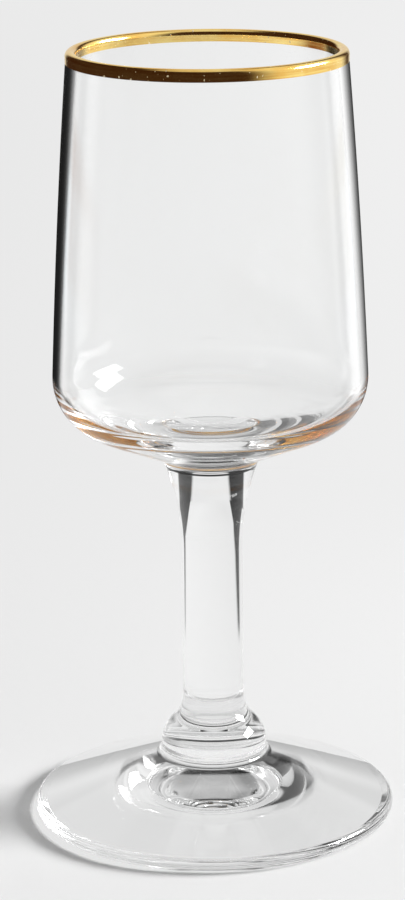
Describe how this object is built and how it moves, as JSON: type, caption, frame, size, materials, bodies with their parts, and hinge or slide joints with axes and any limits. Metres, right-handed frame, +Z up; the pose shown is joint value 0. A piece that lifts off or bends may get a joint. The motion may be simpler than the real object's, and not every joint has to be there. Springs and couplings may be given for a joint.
{
  "type": "liqueur glass",
  "caption": "Stemmed liqueur glass: barrelled clear bowl with a gold lip, solid stem flared into the bowl, bell-shaped knop and round foot.",
  "frame": {"origin": "centre of the rest ring, on the plane the glass stands on", "axes": "+Z up the glass's axis towards the lip; X and Y are any two directions across it, because the glass is round"},
  "size_m": [0.0492, 0.0492, 0.105],
  "materials": {
    "clear_glass": "clear, fire-polished",
    "gilding": "burnished gold, slightly worn"
  },
  "bodies": {
    "root": {"foot": "clear_glass", "knop": "clear_glass", "stem": "clear_glass", "bowl": "clear_glass", "gilt_rim": "gilding"}
  },
  "joints": []
}
